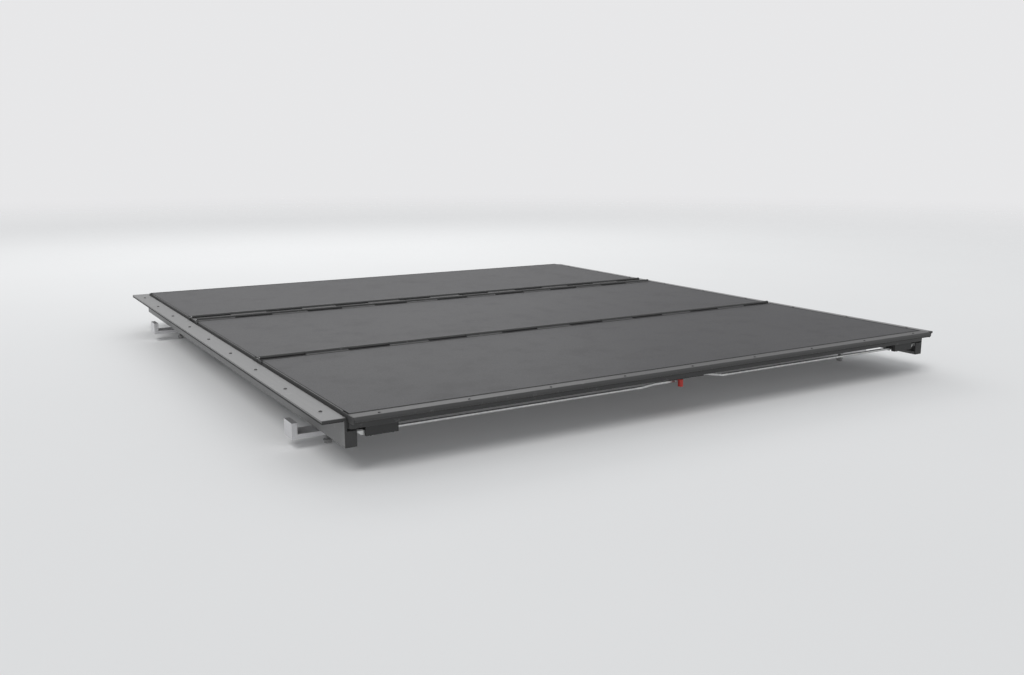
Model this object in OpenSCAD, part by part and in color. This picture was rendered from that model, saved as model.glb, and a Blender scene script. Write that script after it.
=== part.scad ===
// Hard tri-fold tonneau cover for a full-size pickup with a short bed.
// +X right, +Y towards the cab, +Z up. The origin is the centre of the base, under the clamp bolts.

/* [Overall] */
// Length from the bulkhead seal to the tail edge
cover_l = 1702; // [1650:1:1760]
// Width over the ledges of the side rails
cover_w = 1600; // [1500:1:1680]

/* [Panels] */
// Depth of the panel frames
panel_t = 26; // [22:1:32]
// Width of the frame bars
bar_w = 28; // [24:1:36]
// Wall of the frame tubes
tube_wall = 2.2; // [1.5:0.1:3]
// Thickness of the top skins
skin_t = 1.6; // [1:0.1:2.5]
// Thickness of the cores
core_t = 16; // [12:0.5:18]
// Thickness of the liners under the cores
liner_t = 1; // [0.8:0.1:2]
// Bare frame lip around each skin
lip_w = 3; // [2:0.5:6]
// Bare land on a hinge bar, beside the knuckles
land_w = 14; // [12:0.5:18]
// How far the panel tops stand above the rail ledges
rise = 6; // [4:0.5:12]

/* [Hinges] */
// Radius of the hinge pins
pin_r = 2.5; // [2:0.1:3]
// Radius of the knuckles
knuckle_r = 4.5; // [4:0.1:5.5]
// Height of the pins above the panel tops
pin_h = 2; // [2:0.1:3]
// Knuckles on one hinge
knuckles = 15; // [9:2:21]
// Distance between the two pins of the link
link_w = 50; // [48:1:60]

/* [Rails] */
// Width of the ledge that lies on the bed rail
ledge_w = 40; // [32:1:50]
// Thickness of the ledge, web and shelf walls
rail_t = 4; // [3:0.5:5]
// Foam tape under the ledge
tape_t = 3; // [2:0.5:5]
// Width of the shelf that carries the seal
shelf_w = 30; // [26:1:36]
// Height of the bulb seal
seal_h = 4; // [3:0.5:6]
// Height of the T-slot under the shelf
slot_h = 26; // [24:1:32]

/* [Clamps] */
// Clamp distance from each end of the cover
clamp_inset = 240; // [180:5:320]
// Length of a clamp along the rail
clamp_l = 44; // [36:1:60]
// Radius of the clamp bolts
bolt_r = 4; // [3:0.5:5]
// Room between ledge and jaw for the bed flange
flange_room = 44; // [40:1:52]
// Travel of the jaws
jaw_travel = 12; // [8:1:14]

/* [Latches] */
// Travel of the latch bolts
latch_travel = 12; // [10:0.5:13]
// Radius of the pins on the lever's cam
cam_r = 20; // [18:0.5:24]
// Radius of the pull rods
rod_r = 3; // [2.5:0.5:3.5]

/* [Hidden] */
$fn = 48;
fit = 0.05;
gap = 0.3;
side_gap = 3;
tail_lip = 28;
half_w = cover_w / 2;
front_y = cover_l / 2;
tail_y = -cover_l / 2;

// levels, from the bolts' heads up
head_h = 7;
jaw_t = 10;
jaw_drop = 76;
seat_z = jaw_drop + jaw_travel + head_h + 3;
ledge_z = seat_z + tape_t;
ledge_top = ledge_z + rail_t;
top_z = ledge_top + rise;
base_z = top_z - panel_t;
shelf_top = base_z - gap - seal_h;
shelf_z = shelf_top - rail_t + 1;
slot_z = shelf_z - slot_h;
board_z = top_z - skin_t - core_t;

// places across
web_x = half_w - ledge_w - rail_t;
panel_x = web_x - side_gap;
shelf_x = web_x - shelf_w;
slot_x = web_x - 18;

// places along
bulk_w = 26;
screw_r = 2.5;
screw_ys = [front_y - bulk_w - 19];
cross_screw_x = slot_x + 8.4;
screw_z = slot_z + 12;
a_front = front_y - bulk_w - side_gap;
// folded, the middle panel ends stack_back behind the front face,
// and the tail edge stops tip_room short of the link's pin
stack_back = 4;
tip_room = 7;
pin1_y = floor((front_y + link_w - 2 * stack_back - tip_room) / 3);
pin2_y = pin1_y - link_w;
pin3_y = pin2_y - (front_y - stack_back - pin1_y);
c_rear = tail_y + tail_lip;
pin_z = top_z + pin_h;
seam = 1;

// latch and lever
latch_y = c_rear + bar_w / 2;
cam_y = c_rear + bar_w + 15;
bolt_top = shelf_z - gap;
bolt_h = 8;
rod_z = bolt_top - bolt_h / 2;
bolt_tip = slot_x - 2;
house_out = shelf_x - 4;
house_in = house_out - 62;
bolt_back = house_out - 28;
spring_r = rod_r + 1.9;
cam_swing = asin(latch_travel / 2 / cam_r);
cam_z = rod_z + 3;
cam_t = 3.4;
finger_y = 35.5;

prop_x = shelf_x - 24;
prop_y = pin2_y - seam - bar_w / 2;
prop_z = base_z - 8;
prop_r = 4;

// ---- helpers ----

// A bar across the cover, from an outline drawn in Y and Z
module across(w) {
    rotate([90, 0, 90]) linear_extrude(w, center = true) children();
}

// A bar along the cover, from an outline drawn in X and Z
module along(y0, y1) {
    translate([0, y1, 0]) rotate([90, 0, 0]) linear_extrude(y1 - y0) children();
}

module both_sides() {
    children();
    mirror([1, 0, 0]) children();
}

// side is -1 for left and 1 for right
module on_side(side) {
    flip = side < 0 ? 1 : 0;
    mirror([flip, 0, 0]) children();
}

module rod_x(x0, x1, r) {
    translate([x0, 0, 0]) rotate([0, 90, 0]) cylinder(h = x1 - x0, r = r);
}

module block(x0, x1, y0, y1, z0, z1) {
    translate([x0, y0, z0]) cube([x1 - x0, y1 - y0, z1 - z0]);
}

// ---- frame bars ----

// A frame tube's outline: u runs inwards from the bare edge, and the skin lies in the rebate
module bar_outline(bare) {
    difference() {
        polygon([
            [0, -panel_t], [bar_w, -panel_t], [bar_w, -skin_t],
            [bare, -skin_t], [bare, 0], [0, 0]
        ]);
        translate([tube_wall, tube_wall - panel_t])
            square([bar_w - 2 * tube_wall, panel_t - skin_t - 2 * tube_wall]);
    }
}

// A cross bar whose bare edge is at y and whose tube runs towards dir
module cross_bar(y, dir, bare) {
    translate([0, y, top_z]) across(2 * panel_x) scale([dir, 1]) bar_outline(bare);
}

// Knuckles number first, first + 2, ... of a hinge, and the ramps that join them to a bar on side dir
module knuckle_row(y, dir, first) {
    step = (2 * panel_x - 6) / knuckles;
    for (i = [first : 2 : knuckles - 1])
        translate([(i - (knuckles - 1) / 2) * step, y, pin_z])
            across(step - 0.6) {
                circle(knuckle_r);
                polygon([
                    [0, pin_h - 0.5], [dir * (land_w - 2), -pin_h],
                    [dir * (land_w - 2), -pin_h - 1.5], [dir * seam, -pin_h - 3], [0, -pin_h - 2.4]
                ]);
            }
}

// Room for the other side's knuckles
module knuckle_notches(y, first) {
    step = (2 * panel_x - 6) / knuckles;
    for (i = [first : 2 : knuckles - 1])
        translate([(i - (knuckles - 1) / 2) * step, y, pin_z])
            rotate([0, 90, 0]) cylinder(h = step + 0.4, r = knuckle_r + 0.5, center = true);
}

module pin_bore(y) {
    translate([0, y, pin_z]) rotate([0, 90, 0])
        cylinder(h = cover_w, r = pin_r + fit, center = true);
}

// A cross bar with its half of a hinge
module hinge_bar(edge, pin_y, dir, own, other) {
    difference() {
        union() {
            difference() {
                cross_bar(edge, dir, land_w);
                knuckle_notches(pin_y, other);
            }
            knuckle_row(pin_y, dir, own);
        }
        pin_bore(pin_y);
    }
}

module hinge_pin(y) {
    translate([0, y, pin_z]) rod_x(-panel_x + 2, panel_x - 2, pin_r);
}

// The two side tubes of a panel, between its cross bars
module side_bars(y0, y1) {
    both_sides() translate([panel_x, 0, top_z])
        along(y0 + bar_w, y1 - bar_w) scale([-1, 1]) bar_outline(lip_w);
}

module skin(y0, y1, rear_bare, front_bare) {
    block(
        lip_w + gap / 3 - panel_x, panel_x - lip_w - gap / 3,
        y0 + rear_bare + gap / 3, y1 - front_bare - gap / 3, top_z - skin_t, top_z
    );
}

module core(y0, y1) {
    in_x = panel_x - bar_w;
    block(-in_x, in_x, y0 + bar_w, y1 - bar_w, board_z, top_z - skin_t);
}

module liner(y0, y1) {
    in_x = panel_x - bar_w;
    block(-in_x, in_x, y0 + bar_w, y1 - bar_w, board_z - liner_t, board_z);
}

// Plugs in the open ends of the cross tubes: y is a bare edge and dir points into the panel
module end_plug(y, dir) {
    y0 = dir > 0 ? y : y - bar_w;
    inset = tube_wall + 0.2;
    both_sides() {
        block(panel_x, panel_x + 2, y0, y0 + bar_w, base_z, top_z);
        block(
            panel_x - 10, panel_x, y0 + inset, y0 + bar_w - inset,
            base_z + inset, top_z - skin_t - inset
        );
    }
}

// ---- side rails ----

module rail_outline() {
    // web, under the ledge strip
    translate([web_x, slot_z]) square([rail_t, ledge_z - slot_z]);
    // shelf under the panels' sides
    translate([shelf_x, shelf_z]) square([shelf_w, shelf_top - shelf_z]);
    // T-slot's floor and lips
    translate([slot_x, slot_z]) square([web_x - slot_x, 3]);
    translate([slot_x, slot_z]) square([3, 7]);
    translate([slot_x, shelf_z - 5]) square([3, 5]);
}

module rail(side) {
    on_side(side) difference() {
        along(c_rear + side_gap, front_y - bulk_w) rail_outline();
        // screw holes for the corner brackets
        for (y = screw_ys) translate([0, y, screw_z]) rod_x(web_x - 1, web_x + rail_t + 1, screw_r + 0.1);
    }
}

module rail_left() { color("dimgray") rail(-1); }
module rail_right() { color("dimgray") rail(1); }

// Strips along the tops of the webs, which lie on the bed rails
module rail_ledges() {
    color("dimgray") both_sides()
        block(web_x, half_w, c_rear + side_gap, front_y - bulk_w, ledge_z, ledge_top);
}

module rail_tape() {
    color([0.1, 0.1, 0.1]) both_sides()
        block(web_x + rail_t + 0.5, half_w, c_rear + side_gap, front_y - bulk_w, seat_z, ledge_z);
}

module rail_seals() {
    color([0.08, 0.08, 0.08]) both_sides()
        along(c_rear + side_gap, front_y - bulk_w) translate([shelf_x + 4, shelf_top]) {
            square([22, 1.2]);
            intersection() {
                translate([11, seal_h - 11]) circle(11);
                square([22, seal_h]);
            }
        }
}

// Plastic caps on the open rear ends of the rails
module rail_end_caps() {
    y1 = c_rear + side_gap;
    color([0.09, 0.09, 0.09]) both_sides() {
        block(web_x, half_w, y1 - 2.4, y1, ledge_z - 1, ledge_top);
        block(web_x, web_x + rail_t, y1 - 2.4, y1, slot_z, ledge_z - 1);
        block(slot_x, web_x, y1 - 2.4, y1, slot_z, shelf_top);
        block(web_x - 14.5, web_x - 0.5, y1, y1 + 12, slot_z + 3.3, shelf_z - 5.3);
    }
}

// ---- bulkhead ----

module bulkhead_rail() {
    y0 = front_y - bulk_w;
    color("dimgray") difference() {
        union() {
            block(-half_w, half_w, y0, front_y, ledge_z, ledge_top);
            block(-web_x - rail_t, web_x + rail_t, y0, y0 + rail_t, slot_z, ledge_z);
        }
        both_sides() translate([cross_screw_x, y0 - 1, screw_z]) rotate([-90, 0, 0])
            cylinder(h = rail_t + 2, r = screw_r + 0.1);
    }
}

module bulkhead_seal() {
    color([0.1, 0.1, 0.1])
        block(-half_w, half_w, front_y - bulk_w + rail_t + 0.5, front_y, seat_z, ledge_z);
}

// Angle inside the T-slot that joins a side rail to the bulkhead rail
module corner_bracket() {
    y0 = front_y - bulk_w;
    z0 = slot_z + 3.3;
    z1 = shelf_z - 5.3;
    difference() {
        union() {
            block(web_x - 3, web_x, y0 - 24, y0, z0, z1);
            block(slot_x + 3.3, web_x - 3, y0 - 3, y0, z0, z1);
        }
        for (y = screw_ys) translate([0, y, screw_z]) rod_x(web_x - 4, web_x + 1, screw_r + 0.1);
        translate([cross_screw_x, y0 - 4, screw_z]) rotate([-90, 0, 0])
            cylinder(h = 5, r = screw_r + 0.1);
    }
}

// Socket-head screw along X, its head seated at x0
module socket_screw(x0, shank) {
    seat = x0 - fit;
    difference() {
        union() {
            rod_x(seat - 1, x0 + shank, screw_r);
            rod_x(seat - 2.6, seat, 4.4);
        }
        rod_x(seat - 3, seat - 1, 1.5);
    }
}

module corner_fixings() {
    color("silver") both_sides() {
        corner_bracket();
        for (y = screw_ys) translate([0, y, screw_z]) socket_screw(web_x - 3, 3 + rail_t);
        translate([cross_screw_x, front_y - bulk_w, screw_z]) rotate(90)
            socket_screw(-3, 3 + rail_t);
    }
}

// ---- clamps ----

clamp_rear = tail_y + clamp_inset;
clamp_front = front_y - clamp_inset;
bolt_x = slot_x - 24;
foot_z = seat_z - 62;
jaw_top = seat_z - jaw_drop + jaw_t;
tip_top = seat_z - flange_room;

// Bracket that slides into the T-slot and carries the bolt's captive end
module clamp_bracket(y) {
    translate([0, y - clamp_l / 2, 0]) difference() {
        union() {
            // plate against the slot's lips
            block(slot_x - 8, slot_x - gap, 0, clamp_l, foot_z, shelf_z - 1);
            // neck and head inside the slot
            block(slot_x - gap, slot_x + 4, 0, clamp_l, slot_z + 7.3, shelf_z - 5.3);
            block(slot_x + 3.3, web_x - 2, 0, clamp_l, slot_z + 3.3, shelf_z - 1);
            // foot
            block(bolt_x - 14, slot_x - 8, 0, clamp_l, foot_z, foot_z + 12);
        }
        // bore and pocket for the captive end
        translate([bolt_x, clamp_l / 2, foot_z - 1]) cylinder(h = 14, r = bolt_r + fit);
        translate([bolt_x, clamp_l / 2, foot_z + 8]) cylinder(h = 5, r = bolt_r + 2.2);
    }
}

module clamp_brackets() {
    color("silver") both_sides() {
        clamp_bracket(clamp_front);
        clamp_bracket(clamp_rear);
    }
}

// Jaw that reaches under the bed flange and grips it from below
module clamp_jaw(side, y) {
    on_side(side) translate([0, y - clamp_l / 2, 0]) difference() {
        union() {
            block(bolt_x - 13, half_w - 8, 0, clamp_l, seat_z - jaw_drop, jaw_top - gap);
            block(half_w - 20, half_w - 8, 0, clamp_l, jaw_top - 1, tip_top);
        }
        translate([bolt_x, clamp_l / 2, 0]) cylinder(h = seat_z, r = bolt_r + fit);
    }
}

module clamp_jaw_front_left() { color("gray") clamp_jaw(-1, clamp_front); }
module clamp_jaw_front_right() { color("gray") clamp_jaw(1, clamp_front); }
module clamp_jaw_rear_left() { color("gray") clamp_jaw(-1, clamp_rear); }
module clamp_jaw_rear_right() { color("gray") clamp_jaw(1, clamp_rear); }

// Bolt with a flanged hex head below and a captive ring in the bracket's pocket
module clamp_bolt(side, y) {
    on_side(side) translate([bolt_x, y, 0]) {
        cylinder(h = head_h, r = 7.5, $fn = 6);
        translate([0, 0, head_h - 1.6]) cylinder(h = 1.6, r = 9);
        cylinder(h = foot_z + 12, r = bolt_r);
        translate([0, 0, foot_z + 8 + fit]) cylinder(h = 3, r = bolt_r + 2);
    }
}

module clamp_bolt_front_left() { color("silver") clamp_bolt(-1, clamp_front); }
module clamp_bolt_front_right() { color("silver") clamp_bolt(1, clamp_front); }
module clamp_bolt_rear_left() { color("silver") clamp_bolt(-1, clamp_rear); }
module clamp_bolt_rear_right() { color("silver") clamp_bolt(1, clamp_rear); }

// ---- hold-downs of the front panel ----

hold_y = a_front - bar_w / 2;
hold_x = slot_x - 22;
hold_z = slot_z + 12;

module hold_down_brackets() {
    color("silver") both_sides() translate([0, hold_y - 15, 0]) difference() {
        union() {
            block(hold_x - 14, slot_x + 4, 0, 24, hold_z, hold_z + 4);
            block(slot_x + 3.3, web_x - 6.4, 0, 24, slot_z + 3.3, hold_z + 9);
        }
        translate([hold_x, 15, hold_z - 1]) cylinder(h = 6, r = bolt_r + fit);
    }
}

// Star knob whose stud screws up into the front bar
module hold_down_knob(side) {
    on_side(side) translate([hold_x, hold_y, 0]) {
        translate([0, 0, hold_z - gap - 14]) {
            cylinder(h = 14, r = 11);
            for (a = [0 : 60 : 300]) rotate(a) translate([11, 0, 0]) cylinder(h = 12, r = 5);
        }
        translate([0, 0, hold_z - 4]) cylinder(h = base_z + 12 - hold_z + 4, r = bolt_r);
    }
}

module hold_down_knob_left() { color([0.1, 0.1, 0.1]) hold_down_knob(-1); }
module hold_down_knob_right() { color([0.1, 0.1, 0.1]) hold_down_knob(1); }

// ---- front panel ----

a_rear = pin1_y + seam;

module front_skin() { color([0.12, 0.12, 0.13]) skin(a_rear, a_front, land_w, lip_w); }
module front_core() { color("beige") core(a_rear, a_front); }
module front_liner() { color("lightgray") liner(a_rear, a_front); }
module front_lead_bar() {
    color([0.15, 0.15, 0.16]) difference() {
        cross_bar(a_front, -1, lip_w);
        both_sides() translate([hold_x, hold_y, base_z - 1])
            cylinder(h = tube_wall + 2, r = bolt_r + fit);
    }
}
module front_hinge_bar() { color([0.15, 0.15, 0.16]) hinge_bar(a_rear, pin1_y, 1, 0, 1); }
module front_side_bars() { color([0.15, 0.15, 0.16]) side_bars(a_rear, a_front); }
module front_end_caps() {
    color([0.08, 0.08, 0.08]) {
        end_plug(a_rear, 1);
        end_plug(a_front, -1);
    }
}
module front_hinge_pin() { color("silver") hinge_pin(pin1_y); }

// ---- link ----

module link_bar() {
    y0 = pin2_y + seam;
    y1 = pin1_y - seam;
    color([0.15, 0.15, 0.16]) difference() {
        union() {
            difference() {
                block(-panel_x, panel_x, y0, y1, base_z, top_z);
                block(-cover_w, cover_w, y0 + 8, y1 - 8, base_z + tube_wall, top_z - tube_wall);
                knuckle_notches(pin1_y, 0);
                knuckle_notches(pin2_y, 0);
            }
            knuckle_row(pin1_y, -1, 1);
            knuckle_row(pin2_y, 1, 1);
        }
        pin_bore(pin1_y);
        pin_bore(pin2_y);
    }
}
module link_hinge_pin() { color("silver") hinge_pin(pin2_y); }

// ---- middle panel ----

b_front = pin2_y - seam;
b_rear = pin3_y + seam;

module middle_skin() { color([0.12, 0.12, 0.13]) skin(b_rear, b_front, land_w, land_w); }
module middle_core() { color("beige") core(b_rear, b_front); }
module middle_liner() { color("lightgray") liner(b_rear, b_front); }
module middle_lead_bar() { color([0.15, 0.15, 0.16]) hinge_bar(b_front, pin2_y, -1, 0, 1); }
module middle_hinge_bar() { color([0.15, 0.15, 0.16]) hinge_bar(b_rear, pin3_y, 1, 0, 1); }
module middle_side_bars() { color([0.15, 0.15, 0.16]) side_bars(b_rear, b_front); }
module middle_end_caps() {
    color([0.08, 0.08, 0.08]) {
        end_plug(b_rear, 1);
        end_plug(b_front, -1);
    }
}
module rear_hinge_pin() { color("silver") hinge_pin(pin3_y); }

// ---- prop rods ----

// Ears and pin at the pivot, and a clip near the free end
module prop_mount() {
    for (x = [prop_x - 10, prop_x + 5]) translate([x, prop_y - 10, 0]) difference() {
        block(0, 5, 0, 20, prop_z - 8, base_z);
        translate([0, 10, prop_z]) rod_x(-1, 6, 2.5);
    }
    translate([0, prop_y, prop_z]) rod_x(prop_x - 10, prop_x + 10, 2.5);
    // clip under the rear bar
    y = b_rear + 8;
    block(prop_x - 10, prop_x + 10, y, y + 14, base_z - 3, base_z);
    for (x = [prop_x - 8, prop_x + 5]) block(x, x + 3, y, y + 14, prop_z - 3, base_z);
}

module prop_mounts() { color([0.1, 0.1, 0.1]) both_sides() prop_mount(); }

module prop_rod(side) {
    tip = b_rear + 2;
    on_side(side) translate([prop_x, 0, prop_z]) difference() {
        union() {
            translate([0, prop_y, 0]) rotate([90, 0, 0]) cylinder(h = prop_y - tip, r = prop_r);
            translate([0, prop_y, 0]) rod_x(-4.6, 4.6, 5.5);
            translate([0, tip, 0]) sphere(prop_r);
        }
        translate([0, prop_y, 0]) rod_x(-6, 6, 2.5 + fit);
    }
}

module prop_rod_left() { color("silver") prop_rod(-1); }
module prop_rod_right() { color("silver") prop_rod(1); }

// ---- rear panel ----

c_front = pin3_y - seam;

module rear_skin() { color([0.12, 0.12, 0.13]) skin(c_rear, c_front, lip_w, land_w); }
module rear_core() { color("beige") core(c_rear, c_front); }
module rear_liner() { color("lightgray") liner(c_rear, c_front); }
module rear_lead_bar() { color([0.15, 0.15, 0.16]) hinge_bar(c_front, pin3_y, -1, 1, 0); }
module rear_tail_bar() { color([0.15, 0.15, 0.16]) cross_bar(c_rear, 1, lip_w); }
module rear_side_bars() { color([0.15, 0.15, 0.16]) side_bars(c_rear, c_front); }
module rear_end_caps() {
    color([0.08, 0.08, 0.08]) {
        end_plug(c_rear, 1);
        end_plug(c_front, -1);
    }
}

// Edge extrusion that laps over the tailgate
module tail_rail() {
    color([0.15, 0.15, 0.16]) translate([0, c_rear, 0]) across(2 * panel_x)
        polygon([
            [0, top_z], [4 - tail_lip, top_z], [-tail_lip, top_z - 4], [-tail_lip, ledge_z + 1],
            [3 - tail_lip, ledge_z + 1], [3 - tail_lip, top_z - 4.6], [-3, top_z - 4.6],
            [-3, base_z], [0, base_z]
        ]);
}

module tail_seal() {
    color([0.1, 0.1, 0.1]) translate([0, c_rear, 0]) across(2 * panel_x)
        polygon([
            [3.4 - tail_lip, top_z - 4.6], [3.4 - tail_lip, seat_z + 3], [5.4 - tail_lip, seat_z],
            [-6.4, seat_z], [-3.4, seat_z + 3], [-3.4, top_z - 4.6]
        ]);
}

// ---- latches ----

// Open-bottomed guide for a bolt, its spring and the rod's end
module latch_housing() {
    y0 = latch_y - 13;
    y1 = latch_y + 13;
    z0 = rod_z - bolt_h / 2 - 2;
    difference() {
        block(house_in, house_out, y0, y1, z0, base_z);
        block(house_in + 3, house_out + 1, y0 + 4.9, y1 - 4.9, z0 - 1, bolt_top + 0.1);
        translate([0, latch_y, rod_z]) rod_x(house_in - 1, house_in + 4, rod_r + 0.1);
        // round the spring
        translate([0, latch_y, rod_z]) rod_x(house_in + 3, bolt_back + 1, spring_r + 0.3);
        block(house_in - 1, house_in + 4, latch_y - rod_r - 0.1, latch_y + rod_r + 0.1, z0 - 1, rod_z);
    }
}

module latch_housings() { color([0.12, 0.12, 0.12]) both_sides() latch_housing(); }

module latch_bolt(side) {
    on_side(side) translate([0, latch_y + 8, 0]) rotate([90, 0, 0]) linear_extrude(16)
        polygon([
            [bolt_back, bolt_top], [bolt_back, bolt_top - bolt_h],
            [bolt_tip - 7, bolt_top - bolt_h], [bolt_tip, bolt_top - 2], [bolt_tip, bolt_top]
        ]);
}

module latch_bolt_left() { color("silver") latch_bolt(-1); }
module latch_bolt_right() { color("silver") latch_bolt(1); }

// Outer shape of a coil spring between the guide's wall and the bolt
module latch_spring(side) {
    on_side(side) translate([0, latch_y, rod_z]) difference() {
        rod_x(house_in + 3.2, bolt_back - 0.2, spring_r);
        rod_x(house_in, bolt_back + 3, rod_r + 0.5);
    }
}

module latch_spring_left() { color("gray") latch_spring(-1); }
module latch_spring_right() { color("gray") latch_spring(1); }

// Rod from a bolt to a cam pin at pin_off from the lever's axis, with a flat bend towards that pin
module pull_rod(side, pin_off) {
    eye = [latch_travel / 2, cam_y + pin_off];
    route = [[110, latch_y], [70, eye.y], [eye.x + 6, eye.y]];
    on_side(side) translate([0, 0, rod_z]) {
        translate([0, latch_y, 0]) rod_x(route[0].x, bolt_back, rod_r);
        translate([0, 0, -2]) linear_extrude(4) difference() {
            union() {
                for (i = [0, 1]) {
                    d = route[i + 1] - route[i];
                    translate(route[i]) rotate(atan2(d.y, d.x)) {
                        translate([0, -rod_r]) square([norm(d), 2 * rod_r]);
                        circle(rod_r);
                    }
                }
                translate([route[0].x, route[0].y - rod_r]) square([12, 2 * rod_r]);
                translate(eye - [7, 6.6]) square([14, 13.2]);
            }
            // slot across the rod for the cam pin
            for (dy = [-1.6, 1.6]) translate(eye + [0, dy]) circle(3.1);
            translate(eye - [3.1, 1.6]) square([6.2, 3.2]);
        }
    }
}

module pull_rod_left() { color("silver") pull_rod(-1, -cam_r * cos(cam_swing)); }
module pull_rod_right() { color("silver") pull_rod(1, cam_r * cos(cam_swing)); }

module release_base() {
    color([0.12, 0.12, 0.12]) {
        block(-46, 46, c_rear + 1, cam_y + 28, base_z - 3, base_z);
        translate([0, cam_y, cam_z - 3]) cylinder(h = base_z - 2 - cam_z + 3, r = 4);
        translate([0, cam_y, cam_z - 5]) cylinder(h = 2.2, r = 7);
    }
}

// Cam with two pins and the finger lever, one moulding
module release_lever() {
    color("firebrick") translate([0, cam_y, 0]) rotate(-cam_swing) difference() {
        union() {
            translate([0, 0, cam_z]) cylinder(h = cam_t, r = 12);
            translate([-6, -cam_r, cam_z]) cube([12, 2 * cam_r, cam_t]);
            for (s = [-1, 1]) translate([0, s * cam_r, 0]) {
                translate([0, 0, cam_z]) cylinder(h = cam_t, r = 6);
                translate([0, 0, rod_z - 3]) cylinder(h = cam_z - rod_z + 4, r = 3);
            }
            translate([-5, -finger_y, cam_z]) cube([10, finger_y - 12, cam_t]);
            translate([0, -finger_y, cam_z - 12]) cylinder(h = 12 + cam_t, r = 5.5);
        }
        translate([0, 0, cam_z - 5]) cylinder(h = 12, r = 4 + fit);
    }
}

// ---- all pieces ----

rail_left();
rail_right();
rail_ledges();
rail_tape();
rail_seals();
rail_end_caps();
bulkhead_rail();
bulkhead_seal();
corner_fixings();
clamp_brackets();
clamp_jaw_front_left();
clamp_jaw_front_right();
clamp_jaw_rear_left();
clamp_jaw_rear_right();
clamp_bolt_front_left();
clamp_bolt_front_right();
clamp_bolt_rear_left();
clamp_bolt_rear_right();
hold_down_brackets();
hold_down_knob_left();
hold_down_knob_right();
front_skin();
front_core();
front_liner();
front_lead_bar();
front_hinge_bar();
front_side_bars();
front_end_caps();
front_hinge_pin();
link_bar();
link_hinge_pin();
middle_skin();
middle_core();
middle_liner();
middle_lead_bar();
middle_hinge_bar();
middle_side_bars();
middle_end_caps();
rear_hinge_pin();
prop_mounts();
prop_rod_left();
prop_rod_right();
rear_skin();
rear_core();
rear_liner();
rear_lead_bar();
rear_tail_bar();
rear_side_bars();
rear_end_caps();
tail_rail();
tail_seal();
latch_housings();
latch_bolt_left();
latch_bolt_right();
latch_spring_left();
latch_spring_right();
pull_rod_left();
pull_rod_right();
release_base();
release_lever();
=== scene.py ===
"""Looks of a hard tri-fold tonneau cover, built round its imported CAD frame."""

import math

import bmesh
import bpy
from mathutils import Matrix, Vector


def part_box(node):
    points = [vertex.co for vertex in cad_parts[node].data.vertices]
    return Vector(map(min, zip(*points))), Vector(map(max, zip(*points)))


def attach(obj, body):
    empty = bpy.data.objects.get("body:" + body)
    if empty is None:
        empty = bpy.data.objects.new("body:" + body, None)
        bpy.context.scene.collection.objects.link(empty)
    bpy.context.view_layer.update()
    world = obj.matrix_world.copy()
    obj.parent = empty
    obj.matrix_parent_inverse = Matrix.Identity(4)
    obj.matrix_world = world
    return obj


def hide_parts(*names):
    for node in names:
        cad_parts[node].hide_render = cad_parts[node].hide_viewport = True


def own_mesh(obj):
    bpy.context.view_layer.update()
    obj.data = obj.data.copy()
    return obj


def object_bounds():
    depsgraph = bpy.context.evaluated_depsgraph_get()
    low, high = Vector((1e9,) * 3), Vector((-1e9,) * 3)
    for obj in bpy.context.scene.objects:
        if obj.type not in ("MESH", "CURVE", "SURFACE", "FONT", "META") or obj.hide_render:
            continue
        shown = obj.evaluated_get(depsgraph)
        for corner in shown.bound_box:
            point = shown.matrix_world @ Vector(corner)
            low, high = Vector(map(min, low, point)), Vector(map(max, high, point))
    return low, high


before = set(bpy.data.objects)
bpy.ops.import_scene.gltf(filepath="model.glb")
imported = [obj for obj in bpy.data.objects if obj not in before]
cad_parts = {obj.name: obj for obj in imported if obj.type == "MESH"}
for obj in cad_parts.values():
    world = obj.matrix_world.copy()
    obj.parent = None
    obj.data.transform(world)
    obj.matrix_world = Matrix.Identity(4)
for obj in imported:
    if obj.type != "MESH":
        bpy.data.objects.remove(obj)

cad_box = [list(corner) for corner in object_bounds()]
MM = 0.001
THREAD_PITCH = 1.25 * MM

# ---- camera ----

VIEW_AZIMUTH = math.radians(-31)
VIEW_ELEVATION = math.radians(11)
VIEW_DISTANCE = 2.72
LENS_MM = 34.5


def aim(eye, target):
    """The turn that points a camera or lamp at eye towards target."""
    return (Vector(target) - Vector(eye)).to_track_quat("-Z", "Y").to_euler()


def add_camera():
    """The camera, from the left of the tail and a little above."""
    low, high = (Vector(corner) for corner in cad_box)
    target = (low + high) / 2 + Vector((0.03, -0.06, -0.02))
    back = Vector((
        math.sin(VIEW_AZIMUTH) * math.cos(VIEW_ELEVATION),
        -math.cos(VIEW_AZIMUTH) * math.cos(VIEW_ELEVATION),
        math.sin(VIEW_ELEVATION),
    ))
    data = bpy.data.cameras.new("camera")
    data.lens = LENS_MM
    data.sensor_width = 36
    camera = bpy.data.objects.new("camera", data)
    camera.location = target + back * VIEW_DISTANCE
    camera.rotation_euler = aim(camera.location, target)
    bpy.context.scene.collection.objects.link(camera)
    bpy.context.scene.camera = camera


# ---- shader expressions ----

class Wire:
    """A shader socket that takes part in sums like a number."""

    def __init__(self, graph, socket):
        self.graph = graph
        self.socket = socket

    def __add__(self, other):
        return self.graph.maths("ADD", self, other)

    def __sub__(self, other):
        return self.graph.maths("SUBTRACT", self, other)

    def __rsub__(self, other):
        return self.graph.maths("SUBTRACT", other, self)

    def __mul__(self, other):
        return self.graph.maths("MULTIPLY", self, other)

    __radd__ = __add__
    __rmul__ = __mul__

    def above(self, edge, soft):
        """0 below edge - soft, 1 above edge + soft, and a smooth step between."""
        return self.graph.node(
            "ShaderNodeMapRange",
            {"interpolation_type": "SMOOTHSTEP"},
            {"Value": self, "From Min": edge - soft, "From Max": edge + soft},
        )


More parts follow.
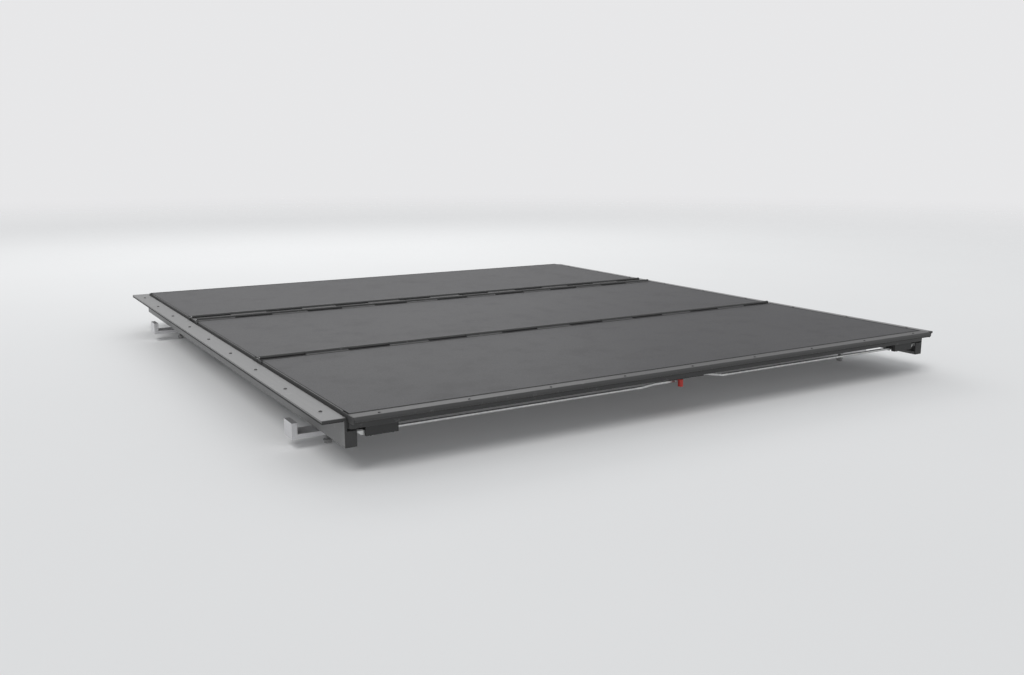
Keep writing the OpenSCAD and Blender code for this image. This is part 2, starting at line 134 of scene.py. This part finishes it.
class Graph:
    """A shader node tree, with one call that adds any node."""

    def __init__(self, tree, output):
        self.tree = tree
        self.output = tree.nodes[output]

    def node(self, kind, settings=None, values=None, out=0):
        made = self.tree.nodes.new(kind)
        for key, value in (settings or {}).items():
            setattr(made, key, value)
        for key, value in (values or {}).items():
            if isinstance(value, Wire):
                self.tree.links.new(value.socket, made.inputs[key])
            else:
                made.inputs[key].default_value = value
        return Wire(self, made.outputs[out])

    def maths(self, operation, *values):
        return self.node("ShaderNodeMath", {"operation": operation}, dict(enumerate(values)))

    def surface(self, wire):
        self.tree.links.new(wire.socket, self.output.inputs["Surface"])


class Finish(Graph):
    """A material on a Principled shader; its patterns follow Object coordinates."""

    def __init__(self, name, **constants):
        self.material = bpy.data.materials.new(name)
        self.material.use_nodes = True
        super().__init__(self.material.node_tree, "Material Output")
        self.shader = self.tree.nodes["Principled BSDF"]
        for socket, value in constants.items():
            self.shader.inputs[socket.replace("_", " ")].default_value = value
        self.place = self.node("ShaderNodeTexCoord", out="Object")

    def stretched(self, scale):
        """Object coordinates, scaled along each axis."""
        return self.node("ShaderNodeMapping", None, {"Vector": self.place, "Scale": scale})

    def noise(self, scale, detail=3, at=None, roughness=0.5):
        return self.node("ShaderNodeTexNoise", None, {
            "Vector": at or self.place, "Scale": scale, "Detail": detail, "Roughness": roughness,
        })

    def cells(self, scale):
        return self.node("ShaderNodeTexVoronoi", None, {"Vector": self.place, "Scale": scale})

    def mix(self, share, first, second):
        return self.node(
            "ShaderNodeMix", {"data_type": "RGBA"}, {0: share, 6: first, 7: second}, out=2
        )

    def set(self, socket, value):
        self.tree.links.new(value.socket, self.shader.inputs[socket])

    def bump(self, height, depth, strength=1.0):
        bumped = self.node("ShaderNodeBump", None, {
            "Height": height, "Distance": depth, "Strength": strength,
        })
        self.set("Normal", bumped)


def grey(level, warm=0.0):
    return (level * (1 + warm), level, level * (1 - warm), 1)


# ---- finishes ----

def textured_skin():
    """Fine-textured black powder coat on the panel tops, with a trace of dust."""
    f = Finish("textured_skin", Specular_IOR_Level=0.34)
    pebbles = f.cells(420)
    grain = f.noise(1400, 2)
    cloud = f.noise(2.2, 3)
    dust = f.noise(14, 7, roughness=0.66).above(0.60, 0.14)
    base = f.mix(cloud, (0.024, 0.024, 0.026, 1), (0.030, 0.030, 0.033, 1))
    f.set("Base Color", f.mix(dust * 0.08, base, (0.13, 0.125, 0.12, 1)))
    f.set("Roughness", 0.44 + cloud * 0.06 + pebbles * 0.10 + dust * 0.06)
    f.bump(pebbles * 0.7 + grain * 0.3, 0.00035, 0.5)
    return f.material


def extruded_metal(name, level, along, wear):
    """Coated aluminium extrusion: die lines run along one axis, and the coat is rubbed in places."""
    f = Finish(name, Metallic=0.35, Specular_IOR_Level=0.5)
    squeeze = (0.01, 1, 1) if along == "X" else (1, 0.01, 1)
    lines = f.noise(900, 2, at=f.stretched(squeeze))
    broad = f.noise(5, 4)
    marks = f.noise(60, 6, roughness=0.7).above(0.66, 0.05)
    base = f.mix(broad, grey(level * 0.85), grey(level * 1.2))
    f.set("Base Color", f.mix(marks * wear, base, grey(level * 2 + 0.12)))
    f.set("Roughness", 0.30 + lines * 0.12 + broad * 0.12)
    f.bump(lines, 0.00012, 0.5)
    return f.material


def seal_rubber():
    """Extruded EPDM: dull, faintly ribbed along its length and chalky where it has aged."""
    f = Finish("seal_rubber", Specular_IOR_Level=0.35)
    lines = f.noise(500, 2, at=f.stretched((1, 0.02, 1)))
    chalk = f.noise(34, 6, roughness=0.6).above(0.55, 0.14)
    f.set("Base Color", f.mix(chalk * 0.35, grey(0.018), grey(0.075, 0.04)))
    f.set("Roughness", 0.68 + chalk * 0.2)
    f.bump(lines + f.noise(1200, 2) * 0.3, 0.0002, 0.6)
    return f.material


def moulded_plastic(name, colour, pale):
    """Grained injection moulding, shinier on the crests of the grain."""
    f = Finish(name, Specular_IOR_Level=0.45)
    grain = f.cells(900)
    haze = f.noise(20, 5)
    f.set("Base Color", f.mix(haze, colour, pale))
    f.set("Roughness", 0.42 + grain * 0.25 + haze * 0.1)
    f.bump(grain, 0.0002, 0.6)
    return f.material


def foam_core():
    """Pale closed-cell foam."""
    f = Finish("foam_core", Roughness=0.95)
    beads = f.cells(260)
    f.set("Base Color", f.mix(beads, (0.80, 0.77, 0.68, 1), (0.62, 0.59, 0.50, 1)))
    f.bump(1 - beads, 0.0006, 0.8)
    return f.material


def pebbled_liner():
    """Grey composite underskin with a moulded pebble grain."""
    f = Finish("pebbled_liner", Specular_IOR_Level=0.4)
    pebbles = f.cells(210)
    stain = f.noise(7, 5, roughness=0.6)
    f.set("Base Color", f.mix(stain, (0.30, 0.30, 0.31, 1), (0.42, 0.42, 0.42, 1)))
    f.set("Roughness", 0.5 + pebbles * 0.25)
    f.bump(pebbles, 0.0006, 0.7)
    return f.material


def plated_steel():
    """Zinc-plated steel, cloudy and finely brushed."""
    f = Finish("plated_steel", Metallic=1.0)
    spangle = f.cells(160)
    brushed = f.noise(700, 3, at=f.stretched((0.05, 1, 1)))
    tint = f.mix(spangle, (0.62, 0.62, 0.60, 1), (0.46, 0.47, 0.48, 1))
    rust = f.noise(85, 7, roughness=0.7).above(0.73, 0.04)
    f.set("Base Color", f.mix(rust * 0.5, tint, (0.28, 0.19, 0.12, 1)))
    f.set("Roughness", 0.26 + brushed * 0.2 + rust * 0.3)
    f.bump(brushed, 0.0001, 0.4)
    return f.material


def threaded_steel():
    """Plated steel with a rolled thread round a vertical shank, above the bolt's head, with painted
    shade in the thread's grooves and a painted highlight on its crests.
    """
    head_top = 8 * MM
    f = Finish("threaded_steel", Metallic=1.0)
    height = f.node("ShaderNodeSeparateXYZ", None, {"Vector": f.place}, out="Z")
    turns = height * (2 * math.pi / THREAD_PITCH)
    ridge = f.maths("SINE", turns) * 0.5 + 0.5
    thread = ridge * height.above(head_top, 0.5 * MM)
    # Painted shade and highlight: the base colour is darker in the thread's grooves and paler on its
    # crests, in step with the bump.
    f.set("Base Color", f.mix(thread, (0.34, 0.34, 0.34, 1), (0.64, 0.64, 0.63, 1)))
    f.set("Roughness", 0.42 - thread * 0.15)
    f.bump(thread, 0.0007, 1.0)
    return f.material


def tumbled_aluminium():
    """Bare aluminium, tumbled dull, with small knocks."""
    f = Finish("tumbled_aluminium", Metallic=1.0)
    fine = f.noise(420, 4)
    knocks = f.cells(55).above(0.12, 0.05)
    f.set("Base Color", f.mix(fine, (0.56, 0.56, 0.57, 1), (0.72, 0.72, 0.73, 1)))
    f.set("Roughness", 0.42 + fine * 0.18)
    f.bump(fine * 0.4 + knocks * 0.6, 0.00025, 0.5)
    return f.material


def blackened_screw():
    """Black-oxide steel of the socket screws."""
    f = Finish("screw_black", Metallic=0.8)
    haze = f.noise(300, 3)
    f.set("Base Color", f.mix(haze, grey(0.03), grey(0.08)))
    f.set("Roughness", 0.35 + haze * 0.15)
    f.bump(haze, 0.0001, 0.4)
    return f.material


SKIN = textured_skin()
FRAME_ACROSS = extruded_metal("frame_across", 0.045, "X", 0.30)
FRAME_ALONG = extruded_metal("frame_along", 0.045, "Y", 0.30)
RAIL_ACROSS = extruded_metal("rail_across", 0.16, "X", 0.22)
RAIL_ALONG = extruded_metal("rail_along", 0.16, "Y", 0.22)
RUBBER = seal_rubber()
PLASTIC = moulded_plastic("black_moulding", grey(0.022), grey(0.036))
LEVER = moulded_plastic("red_moulding", (0.42, 0.030, 0.022, 1), (0.50, 0.045, 0.034, 1))
FOAM = foam_core()
LINER = pebbled_liner()
STEEL = plated_steel()
THREAD = threaded_steel()
TUMBLED = tumbled_aluminium()
SCREW_BLACK = blackened_screw()

NODE_FINISH = {
    "rail_left": RAIL_ALONG, "rail_right": RAIL_ALONG, "rail_ledges": RAIL_ALONG,
    "bulkhead_rail": RAIL_ACROSS,
    "rail_tape": RUBBER, "rail_seals": RUBBER, "bulkhead_seal": RUBBER, "tail_seal": RUBBER,
    "rail_end_caps": PLASTIC, "front_end_caps": PLASTIC, "middle_end_caps": PLASTIC,
    "rear_end_caps": PLASTIC, "prop_mounts": PLASTIC, "latch_housings": PLASTIC,
    "release_base": PLASTIC, "hold_down_knob_left": PLASTIC, "hold_down_knob_right": PLASTIC,
    "front_skin": SKIN, "middle_skin": SKIN, "rear_skin": SKIN,
    "front_core": FOAM, "middle_core": FOAM, "rear_core": FOAM,
    "front_liner": LINER, "middle_liner": LINER, "rear_liner": LINER,
    "front_lead_bar": FRAME_ACROSS, "front_hinge_bar": FRAME_ACROSS, "link_bar": FRAME_ACROSS,
    "middle_lead_bar": FRAME_ACROSS, "middle_hinge_bar": FRAME_ACROSS,
    "rear_lead_bar": FRAME_ACROSS, "rear_tail_bar": FRAME_ACROSS, "tail_rail": FRAME_ACROSS,
    "front_side_bars": FRAME_ALONG, "middle_side_bars": FRAME_ALONG, "rear_side_bars": FRAME_ALONG,
    "front_hinge_pin": STEEL, "link_hinge_pin": STEEL, "rear_hinge_pin": STEEL,
    "corner_fixings": STEEL, "latch_bolt_left": STEEL, "latch_bolt_right": STEEL,
    "pull_rod_left": STEEL, "pull_rod_right": STEEL,
    "prop_rod_left": STEEL, "prop_rod_right": STEEL,
    "clamp_brackets": TUMBLED, "hold_down_brackets": TUMBLED, "release_lever": LEVER,
}

# Nodes whose arrises are broken by a small radius, in millimetres
EDGE_RADIUS = {
    "rail_left": 0.5, "rail_right": 0.5, "rail_ledges": 1.2, "bulkhead_rail": 1.0,
    "rail_tape": 0.6, "bulkhead_seal": 0.6, "tail_seal": 0.8, "rail_end_caps": 0.5,
    "front_end_caps": 0.6, "middle_end_caps": 0.6, "rear_end_caps": 0.6,
    "front_skin": 0.4, "middle_skin": 0.4, "rear_skin": 0.4,
    "front_lead_bar": 0.8, "middle_side_bars": 0.8, "front_side_bars": 0.8, "rear_side_bars": 0.8,
    "rear_tail_bar": 0.8, "tail_rail": 1.0, "link_bar": 0.5,
    "front_hinge_bar": 0.5, "middle_lead_bar": 0.5, "middle_hinge_bar": 0.5, "rear_lead_bar": 0.5,
    "clamp_brackets": 1.0, "hold_down_brackets": 0.8, "prop_mounts": 0.6, "latch_housings": 0.7,
    "release_base": 0.7, "release_lever": 0.7, "latch_bolt_left": 0.6, "latch_bolt_right": 0.6,
    "hold_down_knob_left": 1.0, "hold_down_knob_right": 1.0,
    "pull_rod_left": 0.4, "pull_rod_right": 0.4, "corner_fixings": 0.2,
}


def break_edges(node, radius):
    """Joins a CAD node's loose triangles and rounds its arrises, without moving its faces."""
    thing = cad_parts[node]
    weld = thing.modifiers.new("weld", "WELD")
    weld.merge_threshold = 0.01 * MM
    bevel = thing.modifiers.new("edges", "BEVEL")
    bevel.width = radius * MM
    bevel.segments = 2
    bevel.limit_method = "ANGLE"
    bevel.angle_limit = math.radians(40)
    bevel.harden_normals = True
    even = thing.modifiers.new("even", "WEIGHTED_NORMAL")
    even.keep_sharp = True


def finish_cad_nodes():
    """Gives every node of the frame its finish and its softened edges."""
    for name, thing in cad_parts.items():
        if name.startswith("clamp_bolt"):
            look = THREAD
        elif name.startswith("clamp_jaw"):
            look = TUMBLED
        elif name.startswith("latch_spring"):
            look = STEEL
        else:
            look = NODE_FINISH[name]
        thing.data.materials.clear()
        thing.data.materials.append(look)
        radius = 1.0 if name.startswith("clamp_jaw") else EDGE_RADIUS.get(name)
        if radius:
            break_edges(name, radius)


# ---- mesh helpers ----

def add_piece(name, mesh, look, body):
    """An object of mesh that rides on a body and belongs to a material slot."""
    mesh.materials.clear()
    mesh.materials.append(look)
    thing = bpy.data.objects.new(name, mesh)
    bpy.context.scene.collection.objects.link(thing)
    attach(thing, body)
    return thing


def mesh_from(name, build):
    """A mesh made by build(bm), merged, with its faces turned outwards."""
    bm = bmesh.new()
    build(bm)
    bmesh.ops.remove_doubles(bm, verts=bm.verts, dist=1e-6)
    bmesh.ops.recalc_face_normals(bm, faces=bm.faces)
    mesh = bpy.data.meshes.new(name)
    bm.to_mesh(mesh)
    bm.free()
    return mesh


def sweep(bm, rings):
    """Joins rings of points into a skin, and caps its ends."""
    made = [[bm.verts.new(point) for point in ring] for ring in rings]
    count = len(made[0])
    for first, second in zip(made, made[1:]):
        for i in range(count):
            j = (i + 1) % count
            bm.faces.new((first[i], first[j], second[j], second[i]))
    bm.faces.new(made[0])
    bm.faces.new(made[-1])


def prism_x(bm, outline, x0, x1):
    """A bar along X, from an outline of (y, z) points."""
    sweep(bm, [[(x, y, z) for y, z in outline] for x in (x0, x1)])


def prism_y(bm, outline, y0, y1):
    """A bar along Y, from an outline of (x, z) points."""
    sweep(bm, [[(x, y, z) for x, z in outline] for y in (y0, y1)])


def half_round(centre, base, radius, steps=6):
    """A half circle standing on base, as (across, up) points."""
    return [
        (centre + radius * math.cos(math.pi * i / steps), base + radius * math.sin(math.pi * i / steps))
        for i in range(steps + 1)
    ]


# ---- screws ----

def screw_tree():
    """Geometry Nodes for a straight row of socket screws: a bevelled head with a hex hole, on a line."""
    tree = bpy.data.node_groups.new("screw_row", "GeometryNodeTree")
    tree.interface.new_socket("Geometry", in_out="OUTPUT", socket_type="NodeSocketGeometry")
    for label, kind in (
        ("Start", "NodeSocketVector"), ("End", "NodeSocketVector"), ("Count", "NodeSocketInt"),
        ("Turn", "NodeSocketRotation"), ("Head Radius", "NodeSocketFloat"),
        ("Head Height", "NodeSocketFloat"), ("Socket Radius", "NodeSocketFloat"),
        ("Material", "NodeSocketMaterial"),
    ):
        tree.interface.new_socket(label, in_out="INPUT", socket_type=kind)
    nodes, links = tree.nodes, tree.links
    given = nodes.new("NodeGroupInput").outputs

    def add(kind, settings=None, values=None):
        made = nodes.new(kind)
        for key, value in (settings or {}).items():
            setattr(made, key, value)
        for key, value in (values or {}).items():
            if isinstance(value, bpy.types.NodeSocket):
                links.new(value, made.inputs[key])
            else:
                made.inputs[key].default_value = value
        return made

    def scaled(socket, factor):
        made = add("ShaderNodeMath", {"operation": "MULTIPLY"}, {0: socket, 1: factor})
        return made.outputs[0]

    rim = add("GeometryNodeMeshCone", None, {
        "Vertices": 28, "Radius Bottom": given["Head Radius"],
        "Radius Top": scaled(given["Head Radius"], 0.78), "Depth": given["Head Height"],
    })
    hole = add("GeometryNodeMeshCone", None, {
        "Vertices": 6, "Radius Bottom": given["Socket Radius"],
        "Radius Top": given["Socket Radius"], "Depth": given["Head Height"],
    })
    lift = add("ShaderNodeCombineXYZ", None, {"Z": scaled(given["Head Height"], 0.35)})
    raised = add("GeometryNodeTransform", None, {
        "Geometry": hole.outputs["Mesh"], "Translation": lift.outputs[0],
    })
    head = add("GeometryNodeMeshBoolean", {"operation": "DIFFERENCE"}, {
        "Mesh 1": rim.outputs["Mesh"], "Mesh 2": raised.outputs[0],
    })
    line = add("GeometryNodeMeshLine", {"mode": "END_POINTS"}, {
        "Count": given["Count"], "Start Location": given["Start"], "Offset": given["End"],
    })
    placed = add("GeometryNodeInstanceOnPoints", None, {
        "Points": line.outputs[0], "Instance": head.outputs[0], "Rotation": given["Turn"],
    })
    real = add("GeometryNodeRealizeInstances", None, {0: placed.outputs[0]})
    coated = add("GeometryNodeSetMaterial", None, {
        "Geometry": real.outputs[0], "Material": given["Material"],
    })
    output = nodes.new("NodeGroupOutput")
    links.new(coated.outputs[0], output.inputs[0])
    return tree


SCREW_TREE = screw_tree()
UP = (0, 0, 0)
DOWN = (math.pi, 0, 0)
# How far a screw head's base is sunk into the face it sits on
SUNK = 0.05 * MM


def screw_row_mesh(start, end, count, facing, radius, height):
    """A plain mesh of one row, taken from the evaluated Geometry Nodes."""
    host = bpy.data.objects.new("screw_host", bpy.data.meshes.new("screw_host"))
    bpy.context.scene.collection.objects.link(host)
    rows = host.modifiers.new("screws", "NODES")
    rows.node_group = SCREW_TREE
    values = {
        "Start": start, "End": end, "Count": count, "Turn": facing,
        "Head Radius": radius, "Head Height": height, "Socket Radius": radius * 0.45,
        "Material": SCREW_BLACK,
    }
    for item in SCREW_TREE.interface.items_tree:
        if item.in_out == "INPUT":
            rows[item.identifier] = values[item.name]
    bpy.context.view_layer.update()
    graph = bpy.context.evaluated_depsgraph_get()
    mesh = bpy.data.meshes.new_from_object(host.evaluated_get(graph))
    bpy.data.objects.remove(host)
    return mesh


def add_screws(name, body, rows, radius=3.6 * MM, height=1.6 * MM):
    """One piece of screw heads for a body; rows are (start, end, count, facing)."""
    bm = bmesh.new()
    for start, end, count, facing in rows:
        mesh = screw_row_mesh(start, end, count, facing, radius, height)
        bm.from_mesh(mesh)
        bpy.data.meshes.remove(mesh)
    joined = bpy.data.meshes.new(name)
    bm.to_mesh(joined)
    bm.free()
    add_piece(name, joined, SCREW_BLACK, body)


# ---- places, all from the frame ----

PANELS = {
    "front": ("rails", "front_lead_bar", "front_hinge_bar"),
    "middle": ("middle_panel", "middle_lead_bar", "middle_hinge_bar"),
    "rear": ("rear_panel", "rear_lead_bar", "rear_tail_bar"),
}


def add_edge_wipers():
    """Rubber lips along the panels' sides, which close the gap to the rails."""
    reach = 2.4
    for name, (body, _, _) in PANELS.items():
        low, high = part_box(name + "_side_bars")

        def build(bm):
            for side in (-1, 1):
                edge = side * high.x
                top = high.z - 3 * MM
                lip = ((0, 0), (1.1, 0.2), (reach, 3.4), (reach - 0.7, 4), (0.8, 2.4), (0.8, 9), (0, 9))
                outline = [(edge + side * out * MM, top - down * MM) for out, down in lip]
                prism_y(bm, outline, low.y + 0.3 * MM, high.y - 0.3 * MM)

        add_piece(name + "_edge_wipers", mesh_from(name + "_edge_wipers", build), RUBBER, body)


def add_skin_beads():
    """Thin beads of sealant round each skin, where it meets the frame's bare lip."""
    radius = 0.9 * MM
    for name, (body, _, _) in PANELS.items():
        low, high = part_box(name + "_skin")

        def build(bm):
            base = high.z - 0.1 * MM
            for x in (low.x, high.x):
                prism_y(bm, half_round(x, base, radius), low.y - radius, high.y + radius)
            for y in (low.y, high.y):
                prism_x(bm, half_round(y, base, radius), low.x - radius, high.x + radius)

        add_piece(name + "_skin_bead", mesh_from(name + "_skin_bead", build), RUBBER, body)


def add_springs():
    """Coil springs round the pull rods."""
    wire = 0.75 * MM
    turns = 8
    around_wire = [math.pi * k / 4 for k in range(8)]
    for side in ("left", "right"):
        node = "latch_spring_" + side
        low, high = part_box(node)
        centre = (low + high) / 2
        coil = (high.z - low.z) / 2 - wire
        length = high.x - low.x
        pitch_length = length - 2 * wire

        def build(bm):
            steps = turns * 20
            rings = []
            for i in range(steps + 1):
                share = i / steps
                angle = share * turns * 2 * math.pi
                at = Vector((
                    low.x + wire + pitch_length * share,
                    centre.y + coil * math.cos(angle),
                    centre.z + coil * math.sin(angle),
                ))
                outward = Vector((0, wire * math.cos(angle), wire * math.sin(angle)))
                along = Vector((wire, 0, 0))
                rings.append([
                    at + outward * math.cos(turn) + along * math.sin(turn) for turn in around_wire
                ])
            sweep(bm, rings)

        mesh = mesh_from("coil_" + side, build)
        mesh.shade_smooth()
        piece = add_piece("latch_coil_" + side, mesh, STEEL, "rear_panel")
        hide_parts(node)
        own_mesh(piece)


def mirrored(x, y0, y1, z, count, facing):
    """Two rows of screws along Y, one on each side."""
    return [((side * x, y0, z), (side * x, y1, z), count, facing) for side in (-1, 1)]


def across(x, y, z, count, facing):
    """A row of screws along X, from one side to the other."""
    return ((-x, y, z), (x, y, z), count, facing)


def add_rail_screws():
    """Screws through the ledges and the bulkhead rail."""
    ledge_low, ledge_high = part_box("rail_ledges")
    _, rail_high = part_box("rail_right")
    _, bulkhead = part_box("bulkhead_rail")
    end = 60 * MM
    middle = (rail_high.x + ledge_high.x) / 2
    rows = mirrored(middle, ledge_low.y + end, ledge_high.y - end, ledge_high.z - SUNK, 9, UP)
    rows.append(across(bulkhead.x - 90 * MM, bulkhead.y - 9 * MM, bulkhead.z - SUNK, 8, UP))
    add_screws("rail_screws", "rails", rows)


def add_frame_screws():
    """Screws up into the panels' side and cross bars, from below."""
    inset = 22 * MM
    half_bar = 14 * MM
    for name, (body, lead, rear) in PANELS.items():
        low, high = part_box(name + "_side_bars")
        under = low.z + SUNK
        rows = mirrored(high.x - half_bar, low.y + inset, high.y - inset, under, 3, DOWN)
        for bar in (lead, rear):
            bar_low, bar_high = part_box(bar)
            y = (bar_low.y + bar_high.y) / 2
            if bar == "front_hinge_bar":
                y = bar_low.y + half_bar
            rows.append(across(500 * MM, y, under, 4, DOWN))
        add_screws(name + "_frame_screws", body, rows)


def add_tail_screws():
    """Small screws along the tail rail and at the corners of the release base."""
    _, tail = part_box("tail_rail")
    low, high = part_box("release_base")
    rows = [across(tail.x - 50 * MM, tail.y - 15 * MM, tail.z - SUNK, 9, UP)]
    corner = 9 * MM
    plate = high.z - 3 * MM + SUNK
    for y in (low.y + corner, high.y - corner):
        rows.append(((low.x + corner, y, plate), (high.x - corner, y, plate), 2, DOWN))
    add_screws("tail_screws", "rear_panel", rows, radius=2.7 * MM, height=1.2 * MM)


def add_housing_screws():
    """Four small screws in the flanges of each latch housing."""
    low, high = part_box("latch_housings")
    flange = 2.45 * MM
    under = low.z + SUNK
    rows = []
    for side in (-1, 1):
        inner, outer = side * (high.x - 52 * MM), side * (high.x - 10 * MM)
        for y in (low.y + flange, high.y - flange):
            rows.append(((inner, y, under), (outer, y, under), 2, DOWN))
    add_screws("housing_screws", "rear_panel", rows, radius=1.9 * MM, height=1.0 * MM)


def add_tail_plates():
    """Moulded plates that close the open ends of the tail rail."""
    low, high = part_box("tail_rail")
    _, cap_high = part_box("rear_end_caps")
    seal_low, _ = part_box("tail_seal")

    def build(bm):
        outline = [
            (high.y, high.z), (low.y + 4 * MM, high.z), (low.y, high.z - 4 * MM),
            (low.y, seal_low.z + 4 * MM), (low.y + 3 * MM, seal_low.z), (high.y, seal_low.z),
        ]
        for side in (-1, 1):
            sweep(bm, [[(side * x, y, z) for y, z in outline] for x in (high.x, cap_high.x)])

    piece = add_piece(
        "tail_end_plates", mesh_from("tail_end_plates", build), PLASTIC, "rear_panel"
    )
    soften = piece.modifiers.new("edges", "BEVEL")
    soften.width = 0.5 * MM
    soften.segments = 2
    soften.limit_method = "ANGLE"


def add_link_plugs():
    """Dished plugs pushed into the open ends of the link bar's tube."""
    wall = 2.2 * MM
    # From a hinge pin's axis to the tube's hollow
    pin_to_hollow = 9 * MM
    bar_low, bar_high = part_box("link_bar")
    _, frame_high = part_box("middle_side_bars")
    rear_pin, front_pin = (
        sum(corner.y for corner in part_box(pin)) / 2 for pin in ("link_hinge_pin", "front_hinge_pin")
    )

    def outline(x, inset):
        y0, y1 = rear_pin + pin_to_hollow + inset, front_pin - pin_to_hollow - inset
        z0, z1 = bar_low.z + wall + inset, frame_high.z - wall - inset
        return [(x, y0, z0), (x, y1, z0), (x, y1, z1), (x, y0, z1)]

    def build(bm):
        fit = 0.1
        dish = [(12, fit), (0.9, fit), (0.4, 0.6), (0.4, 2.6), (2.4, 3.0)]
        for side in (-1, 1):
            sweep(bm, [
                outline(side * (bar_high.x - depth * MM), inset * MM) for depth, inset in dish
            ])

    add_piece("link_end_plugs", mesh_from("link_end_plugs", build), PLASTIC, "link")


# ---- stage and light ----

BACKDROP = (0.80, 0.80, 0.81, 1)
# How far out the floor fades into the backdrop, and half the width of the fade, in metres
FLOOR_EDGE = 6.0
FLOOR_FADE = 3.6


def add_floor():
    """A pale floor that fades into the backdrop, and that the camera sees through from below."""
    mesh = mesh_from("floor", lambda bm: bmesh.ops.create_grid(bm, x_segments=1, y_segments=1, size=30))
    floor = bpy.data.objects.new("floor", mesh)
    look = Finish("floor", Roughness=0.9, Specular_IOR_Level=0.05)
    haze = look.noise(1.5, 3)
    look.set("Base Color", look.mix(haze, grey(0.80), grey(0.82)))
    far = look.node("ShaderNodeVectorMath", {"operation": "LENGTH"}, {0: look.place}, out="Value")
    below = look.node("ShaderNodeNewGeometry", out="Backfacing")
    to_eye = look.node("ShaderNodeLightPath", out="Is Camera Ray")
    to_lamp = look.node("ShaderNodeLightPath", out="Is Shadow Ray")
    unseen = look.maths("MAXIMUM", below * to_eye, to_lamp)
    share = look.maths("MAXIMUM", unseen, far.above(FLOOR_EDGE, FLOOR_FADE))
    look.surface(look.node("ShaderNodeMixShader", None, {
        0: share, 1: Wire(look, look.shader.outputs[0]), 2: look.node("ShaderNodeBsdfTransparent"),
    }))
    mesh.materials.append(look.material)
    floor.location.z = -0.0005
    bpy.context.scene.collection.objects.link(floor)


def add_lamp(name, place, size, watts):
    """A soft rectangular lamp aimed at the cover."""
    data = bpy.data.lights.new(name, "AREA")
    data.shape = "RECTANGLE"
    data.size, data.size_y = size
    data.energy = watts
    lamp = bpy.data.objects.new(name, data)
    lamp.location = place
    lamp.rotation_euler = aim(place, (0, 0, 0.1))
    bpy.context.scene.collection.objects.link(lamp)


def add_key():
    """A wide, soft sun from the left of the tail, which lights object and floor evenly."""
    data = bpy.data.lights.new("key", "SUN")
    data.energy = 1.25
    data.angle = math.radians(28)
    key = bpy.data.objects.new("key", data)
    key.rotation_euler = aim((-2.0, -1.6, 3.2), (0, 0, 0))
    bpy.context.scene.collection.objects.link(key)


def add_world():
    """Even light all round, and the pale backdrop for the camera and for reflections."""
    world = bpy.data.worlds.new("studio")
    bpy.context.scene.world = world
    world.use_nodes = True
    sky = Graph(world.node_tree, "World Output")
    light = sky.node("ShaderNodeBackground", None, {"Color": (0.96, 0.98, 1.0, 1), "Strength": 0.55})
    seen = sky.node("ShaderNodeBackground", None, {"Color": BACKDROP})
    to_eye = sky.node("ShaderNodeLightPath", out="Is Camera Ray")
    in_gloss = sky.node("ShaderNodeLightPath", out="Is Glossy Ray")
    share = sky.maths("MAXIMUM", to_eye, in_gloss)
    sky.surface(sky.node("ShaderNodeMixShader", None, {0: share, 1: light, 2: seen}))


bpy.context.scene.view_settings.view_transform = "Standard"
add_camera()
finish_cad_nodes()
add_edge_wipers()
add_skin_beads()
add_springs()
add_rail_screws()
add_frame_screws()
add_tail_screws()
add_housing_screws()
add_tail_plates()
add_link_plugs()
add_floor()
add_world()
add_key()
add_lamp("rim", (0.6, 3.4, 2.6), (4.0, 1.6), 32)
add_lamp("bounce", (0, -0.4, -3.0), (5.0, 5.0), 45)
